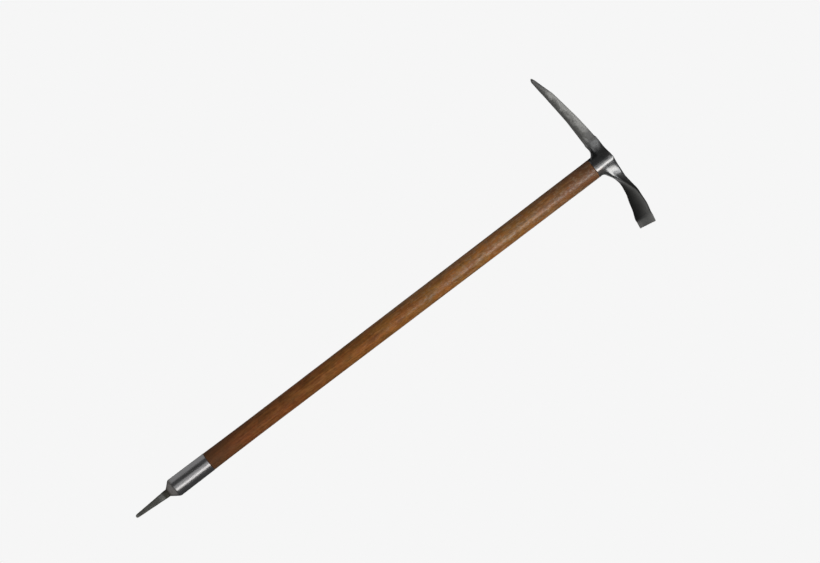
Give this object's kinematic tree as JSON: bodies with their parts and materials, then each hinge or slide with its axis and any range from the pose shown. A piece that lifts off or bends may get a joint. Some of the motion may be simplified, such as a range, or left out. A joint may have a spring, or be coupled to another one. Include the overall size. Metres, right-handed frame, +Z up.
{
  "type": "ice axe",
  "caption": "Long wooden-shafted ice axe with a forged pick and twisted adze, a steel ferrule and a square forged spike.",
  "frame": {"origin": "tip of the spike, on the shaft's axis", "axes": "+Z up the shaft to the head, -X along the pick, +X along the adze, -Y towards the adze's raised corner"},
  "size_m": [0.283, 0.0552, 0.8982],
  "materials": {
    "forged_steel": "forged and hand polished, with grinding marks",
    "ferrule_steel": "turned and polished",
    "spike_steel": "as forged, dull grey",
    "shaft_wood": "straight-grained ash, stained and oiled",
    "wedge_wood": "bare hardwood",
    "rivet_steel": "filed flush"
  },
  "bodies": {
    "root": {"head": "forged_steel", "shaft": "shaft_wood", "head_wedge": "wedge_wood", "head_rivet": "rivet_steel", "ferrule": "ferrule_steel", "ferrule_rivet": "rivet_steel", "spike": "spike_steel"}
  },
  "joints": []
}
